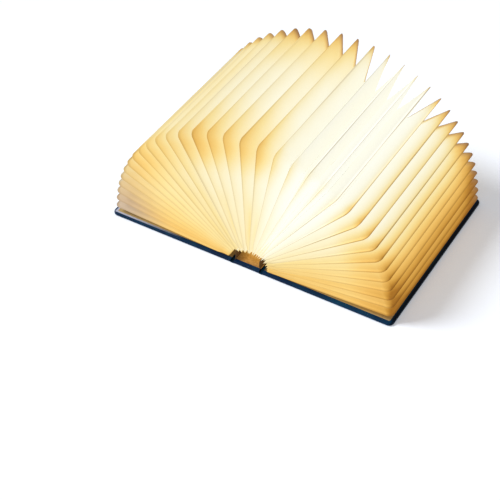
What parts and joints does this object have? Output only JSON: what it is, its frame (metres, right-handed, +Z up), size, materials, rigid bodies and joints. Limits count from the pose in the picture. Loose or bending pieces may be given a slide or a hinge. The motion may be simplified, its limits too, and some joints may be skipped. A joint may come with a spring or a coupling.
{
  "type": "folding book lamp",
  "caption": "Book-shaped lamp: two hinged covers open flat and a pleated paper fan rises between them, lit from inside by a light strip on the spine.",
  "frame": {"origin": "middle of the spine's underside, on the surface that the open lamp lies on", "axes": "+X across the open book from the front cover to the back cover, +Y along the spine away from the end that the picture shows, +Z up"},
  "size_m": [0.319, 0.21, 0.1552],
  "materials": {
    "printed_wrap": "printed, laminated paper wrap with a soft sheen",
    "greyboard": "raw pressed board",
    "endpaper": "plain matt endpaper",
    "spine_liner": "matt gold-brown paper",
    "magnet": "nickel plated",
    "root_cloth": "woven book cloth",
    "housing_plastic": "fine moulded texture",
    "lid_metal": "brushed",
    "strip_board": "white solder mask",
    "led_chip": "phosphor coated",
    "diffuser_plastic": "frosted, lit from within",
    "battery_foil": "foil pouch",
    "circuit_board": "green solder mask",
    "socket_steel": "bright stamped shell",
    "chip_plastic": "moulded",
    "screw_steel": "zinc plated",
    "pleat_paper": "translucent tear-proof paper, lit from within"
  },
  "bodies": {
    "spine": {"spine_board": "greyboard", "spine_wrap": "printed_wrap", "spine_liner": "spine_liner", "root_webs": "root_cloth", "led_tray": "housing_plastic", "tray_lid": "lid_metal", "led_strip": "strip_board", "led_chips": "led_chip", "diffuser": "diffuser_plastic", "battery": "battery_foil", "control_board": "circuit_board", "usb_socket": "socket_steel", "switch_sensor": "chip_plastic", "lid_screws": "screw_steel", "front_joint_cloth": "printed_wrap", "back_joint_cloth": "printed_wrap"},
    "front_cover": {"front_board": "greyboard", "front_wrap": "printed_wrap", "front_endpaper": "endpaper", "front_magnets": "magnet"},
    "back_cover": {"back_board": "greyboard", "back_wrap": "printed_wrap", "back_endpaper": "endpaper", "back_magnets": "magnet"},
    "page_block": {"near_root_tape": "root_cloth", "far_root_tape": "root_cloth"},
    "pleat_01": {"pleat_01": "pleat_paper"},
    "pleat_02": {"pleat_02": "pleat_paper"},
    "pleat_03": {"pleat_03": "pleat_paper"},
    "pleat_04": {"pleat_04": "pleat_paper"},
    "pleat_05": {"pleat_05": "pleat_paper"},
    "pleat_06": {"pleat_06": "pleat_paper"},
    "pleat_07": {"pleat_07": "pleat_paper"},
    "pleat_08": {"pleat_08": "pleat_paper"},
    "pleat_09": {"pleat_09": "pleat_paper"},
    "pleat_10": {"pleat_10": "pleat_paper"},
    "pleat_11": {"pleat_11": "pleat_paper"},
    "pleat_12": {"pleat_12": "pleat_paper"},
    "pleat_13": {"pleat_13": "pleat_paper"},
    "pleat_14": {"pleat_14": "pleat_paper"},
    "pleat_15": {"pleat_15": "pleat_paper"},
    "pleat_16": {"pleat_16": "pleat_paper"},
    "pleat_17": {"pleat_17": "pleat_paper"},
    "pleat_18": {"pleat_18": "pleat_paper"},
    "pleat_19": {"pleat_19": "pleat_paper"},
    "pleat_20": {"pleat_20": "pleat_paper"},
    "pleat_21": {"pleat_21": "pleat_paper"},
    "pleat_22": {"pleat_22": "pleat_paper"},
    "pleat_23": {"pleat_23": "pleat_paper"},
    "pleat_24": {"pleat_24": "pleat_paper"},
    "pleat_25": {"pleat_25": "pleat_paper"},
    "pleat_26": {"pleat_26": "pleat_paper"},
    "pleat_27": {"pleat_27": "pleat_paper"},
    "pleat_28": {"pleat_28": "pleat_paper"},
    "pleat_29": {"pleat_29": "pleat_paper"},
    "pleat_30": {"pleat_30": "pleat_paper"},
    "pleat_31": {"pleat_31": "pleat_paper"},
    "pleat_32": {"pleat_32": "pleat_paper"},
    "pleat_33": {"pleat_33": "pleat_paper"},
    "pleat_34": {"pleat_34": "pleat_paper"}
  },
  "joints": [
    {"name": "front_cover_hinge", "type": "hinge", "parent": "spine", "child": "front_cover", "pos_m": [-0.018, 0, 0], "axis": [0, 1, 0], "range_deg": [0, 90], "deforming": ["front_joint_cloth"]},
    {"name": "back_cover_hinge", "type": "hinge", "parent": "spine", "child": "back_cover", "pos_m": [0.018, 0, 0], "axis": [0, -1, 0], "range_deg": [0, 90], "deforming": ["back_joint_cloth"]},
    {"name": "page_block_drop", "type": "slide", "parent": "spine", "child": "page_block", "axis": [0, 0, -1], "range_m": [0, 0.0153], "deforming": ["near_root_tape", "far_root_tape", "root_webs"]},
    {"name": "pleat_01_turn", "type": "hinge", "parent": "page_block", "child": "pleat_01", "pos_m": [-0.01011, 0, 0.00758], "axis": [0, 1, 0], "range_deg": [0, 87.4], "deforming": ["pleat_01"]},
    {"name": "pleat_02_turn", "type": "hinge", "parent": "page_block", "child": "pleat_02", "pos_m": [-0.0097, 0, 0.00737], "axis": [0, 1, 0], "range_deg": [0, 83.52], "deforming": ["pleat_02"]},
    {"name": "pleat_03_turn", "type": "hinge", "parent": "page_block", "child": "pleat_03", "pos_m": [-0.00926, 0, 0.00713], "axis": [0, 1, 0], "range_deg": [0, 79.6], "deforming": ["pleat_03"]},
    {"name": "pleat_04_turn", "type": "hinge", "parent": "page_block", "child": "pleat_04", "pos_m": [-0.00881, 0, 0.00688], "axis": [0, 1, 0], "range_deg": [0, 75.57], "deforming": ["pleat_04"]},
    {"name": "pleat_05_turn", "type": "hinge", "parent": "page_block", "child": "pleat_05", "pos_m": [-0.00834, 0, 0.00661], "axis": [0, 1, 0], "range_deg": [0, 71.4], "deforming": ["pleat_05"]},
    {"name": "pleat_06_turn", "type": "hinge", "parent": "page_block", "child": "pleat_06", "pos_m": [-0.00784, 0, 0.00633], "axis": [0, 1, 0], "range_deg": [0, 67.03], "deforming": ["pleat_06"]},
    {"name": "pleat_07_turn", "type": "hinge", "parent": "page_block", "child": "pleat_07", "pos_m": [-0.00732, 0, 0.00604], "axis": [0, 1, 0], "range_deg": [0, 62.45], "deforming": ["pleat_07"]},
    {"name": "pleat_08_turn", "type": "hinge", "parent": "page_block", "child": "pleat_08", "pos_m": [-0.00677, 0, 0.00574], "axis": [0, 1, 0], "range_deg": [0, 57.62], "deforming": ["pleat_08"]},
    {"name": "pleat_09_turn", "type": "hinge", "parent": "page_block", "child": "pleat_09", "pos_m": [-0.0062, 0, 0.00545], "axis": [0, 1, 0], "range_deg": [0, 52.53], "deforming": ["pleat_09"]},
    {"name": "pleat_10_turn", "type": "hinge", "parent": "page_block", "child": "pleat_10", "pos_m": [-0.00558, 0, 0.00516], "axis": [0, 1, 0], "range_deg": [0, 47.16], "deforming": ["pleat_10"]},
    {"name": "pleat_11_turn", "type": "hinge", "parent": "page_block", "child": "pleat_11", "pos_m": [-0.00494, 0, 0.00488], "axis": [0, 1, 0], "range_deg": [0, 41.53], "deforming": ["pleat_11"]},
    {"name": "pleat_12_turn", "type": "hinge", "parent": "page_block", "child": "pleat_12", "pos_m": [-0.00426, 0, 0.00463], "axis": [0, 1, 0], "range_deg": [0, 35.64], "deforming": ["pleat_12"]},
    {"name": "pleat_13_turn", "type": "hinge", "parent": "page_block", "child": "pleat_13", "pos_m": [-0.00354, 0, 0.0044], "axis": [0, 1, 0], "range_deg": [0, 29.51], "deforming": ["pleat_13"]},
    {"name": "pleat_14_turn", "type": "hinge", "parent": "page_block", "child": "pleat_14", "pos_m": [-0.00279, 0, 0.00421], "axis": [0, 1, 0], "range_deg": [0, 23.18], "deforming": ["pleat_14"]},
    {"name": "pleat_15_turn", "type": "hinge", "parent": "page_block", "child": "pleat_15", "pos_m": [-0.00201, 0, 0.00405], "axis": [0, 1, 0], "range_deg": [0, 16.68], "deforming": ["pleat_15"]},
    {"name": "pleat_16_turn", "type": "hinge", "parent": "page_block", "child": "pleat_16", "pos_m": [-0.00122, 0, 0.00395], "axis": [0, 1, 0], "range_deg": [0, 10.06], "deforming": ["pleat_16"]},
    {"name": "pleat_17_turn", "type": "hinge", "parent": "page_block", "child": "pleat_17", "pos_m": [-0.00041, 0, 0.0039], "axis": [0, 1, 0], "range_deg": [0, 3.36], "deforming": ["pleat_17"]},
    {"name": "pleat_18_turn", "type": "hinge", "parent": "page_block", "child": "pleat_18", "pos_m": [0.00041, 0, 0.0039], "axis": [0, -1, 0], "range_deg": [0, 3.36], "deforming": ["pleat_18"]},
    {"name": "pleat_19_turn", "type": "hinge", "parent": "page_block", "child": "pleat_19", "pos_m": [0.00122, 0, 0.00395], "axis": [0, -1, 0], "range_deg": [0, 10.06], "deforming": ["pleat_19"]},
    {"name": "pleat_20_turn", "type": "hinge", "parent": "page_block", "child": "pleat_20", "pos_m": [0.00201, 0, 0.00405], "axis": [0, -1, 0], "range_deg": [0, 16.68], "deforming": ["pleat_20"]},
    {"name": "pleat_21_turn", "type": "hinge", "parent": "page_block", "child": "pleat_21", "pos_m": [0.00279, 0, 0.00421], "axis": [0, -1, 0], "range_deg": [0, 23.18], "deforming": ["pleat_21"]},
    {"name": "pleat_22_turn", "type": "hinge", "parent": "page_block", "child": "pleat_22", "pos_m": [0.00354, 0, 0.0044], "axis": [0, -1, 0], "range_deg": [0, 29.51], "deforming": ["pleat_22"]},
    {"name": "pleat_23_turn", "type": "hinge", "parent": "page_block", "child": "pleat_23", "pos_m": [0.00426, 0, 0.00463], "axis": [0, -1, 0], "range_deg": [0, 35.64], "deforming": ["pleat_23"]},
    {"name": "pleat_24_turn", "type": "hinge", "parent": "page_block", "child": "pleat_24", "pos_m": [0.00494, 0, 0.00488], "axis": [0, -1, 0], "range_deg": [0, 41.53], "deforming": ["pleat_24"]},
    {"name": "pleat_25_turn", "type": "hinge", "parent": "page_block", "child": "pleat_25", "pos_m": [0.00558, 0, 0.00516], "axis": [0, -1, 0], "range_deg": [0, 47.16], "deforming": ["pleat_25"]},
    {"name": "pleat_26_turn", "type": "hinge", "parent": "page_block", "child": "pleat_26", "pos_m": [0.0062, 0, 0.00545], "axis": [0, -1, 0], "range_deg": [0, 52.53], "deforming": ["pleat_26"]},
    {"name": "pleat_27_turn", "type": "hinge", "parent": "page_block", "child": "pleat_27", "pos_m": [0.00677, 0, 0.00574], "axis": [0, -1, 0], "range_deg": [0, 57.62], "deforming": ["pleat_27"]},
    {"name": "pleat_28_turn", "type": "hinge", "parent": "page_block", "child": "pleat_28", "pos_m": [0.00732, 0, 0.00604], "axis": [0, -1, 0], "range_deg": [0, 62.45], "deforming": ["pleat_28"]},
    {"name": "pleat_29_turn", "type": "hinge", "parent": "page_block", "child": "pleat_29", "pos_m": [0.00784, 0, 0.00633], "axis": [0, -1, 0], "range_deg": [0, 67.03], "deforming": ["pleat_29"]},
    {"name": "pleat_30_turn", "type": "hinge", "parent": "page_block", "child": "pleat_30", "pos_m": [0.00834, 0, 0.00661], "axis": [0, -1, 0], "range_deg": [0, 71.4], "deforming": ["pleat_30"]},
    {"name": "pleat_31_turn", "type": "hinge", "parent": "page_block", "child": "pleat_31", "pos_m": [0.00881, 0, 0.00688], "axis": [0, -1, 0], "range_deg": [0, 75.57], "deforming": ["pleat_31"]},
    {"name": "pleat_32_turn", "type": "hinge", "parent": "page_block", "child": "pleat_32", "pos_m": [0.00926, 0, 0.00713], "axis": [0, -1, 0], "range_deg": [0, 79.6], "deforming": ["pleat_32"]},
    {"name": "pleat_33_turn", "type": "hinge", "parent": "page_block", "child": "pleat_33", "pos_m": [0.0097, 0, 0.00737], "axis": [0, -1, 0], "range_deg": [0, 83.52], "deforming": ["pleat_33"]},
    {"name": "pleat_34_turn", "type": "hinge", "parent": "page_block", "child": "pleat_34", "pos_m": [0.01011, 0, 0.00758], "axis": [0, -1, 0], "range_deg": [0, 87.4], "deforming": ["pleat_34"]}
  ],
  "couplings": [
    {"joint": "back_cover_hinge", "follows": "front_cover_hinge", "ratio": 1},
    {"joint": "page_block_drop", "follows": "front_cover_hinge", "m_per_rad": 0.0097402},
    {"joint": "pleat_01_turn", "follows": "front_cover_hinge", "ratio": 0.97111},
    {"joint": "pleat_02_turn", "follows": "front_cover_hinge", "ratio": 0.92805},
    {"joint": "pleat_03_turn", "follows": "front_cover_hinge", "ratio": 0.88442},
    {"joint": "pleat_04_turn", "follows": "front_cover_hinge", "ratio": 0.83967},
    {"joint": "pleat_05_turn", "follows": "front_cover_hinge", "ratio": 0.79328},
    {"joint": "pleat_06_turn", "follows": "front_cover_hinge", "ratio": 0.74482},
    {"joint": "pleat_07_turn", "follows": "front_cover_hinge", "ratio": 0.6939},
    {"joint": "pleat_08_turn", "follows": "front_cover_hinge", "ratio": 0.64023},
    {"joint": "pleat_09_turn", "follows": "front_cover_hinge", "ratio": 0.58364},
    {"joint": "pleat_10_turn", "follows": "front_cover_hinge", "ratio": 0.52402},
    {"joint": "pleat_11_turn", "follows": "front_cover_hinge", "ratio": 0.46143},
    {"joint": "pleat_12_turn", "follows": "front_cover_hinge", "ratio": 0.39598},
    {"joint": "pleat_13_turn", "follows": "front_cover_hinge", "ratio": 0.32792},
    {"joint": "pleat_14_turn", "follows": "front_cover_hinge", "ratio": 0.25759},
    {"joint": "pleat_15_turn", "follows": "front_cover_hinge", "ratio": 0.18538},
    {"joint": "pleat_16_turn", "follows": "front_cover_hinge", "ratio": 0.1118},
    {"joint": "pleat_17_turn", "follows": "front_cover_hinge", "ratio": 0.037361},
    {"joint": "pleat_18_turn", "follows": "front_cover_hinge", "ratio": 0.037361},
    {"joint": "pleat_19_turn", "follows": "front_cover_hinge", "ratio": 0.1118},
    {"joint": "pleat_20_turn", "follows": "front_cover_hinge", "ratio": 0.18538},
    {"joint": "pleat_21_turn", "follows": "front_cover_hinge", "ratio": 0.25759},
    {"joint": "pleat_22_turn", "follows": "front_cover_hinge", "ratio": 0.32792},
    {"joint": "pleat_23_turn", "follows": "front_cover_hinge", "ratio": 0.39598},
    {"joint": "pleat_24_turn", "follows": "front_cover_hinge", "ratio": 0.46143},
    {"joint": "pleat_25_turn", "follows": "front_cover_hinge", "ratio": 0.52402},
    {"joint": "pleat_26_turn", "follows": "front_cover_hinge", "ratio": 0.58364},
    {"joint": "pleat_27_turn", "follows": "front_cover_hinge", "ratio": 0.64023},
    {"joint": "pleat_28_turn", "follows": "front_cover_hinge", "ratio": 0.6939},
    {"joint": "pleat_29_turn", "follows": "front_cover_hinge", "ratio": 0.74482},
    {"joint": "pleat_30_turn", "follows": "front_cover_hinge", "ratio": 0.79328},
    {"joint": "pleat_31_turn", "follows": "front_cover_hinge", "ratio": 0.83967},
    {"joint": "pleat_32_turn", "follows": "front_cover_hinge", "ratio": 0.88442},
    {"joint": "pleat_33_turn", "follows": "front_cover_hinge", "ratio": 0.92805},
    {"joint": "pleat_34_turn", "follows": "front_cover_hinge", "ratio": 0.97111}
  ]
}
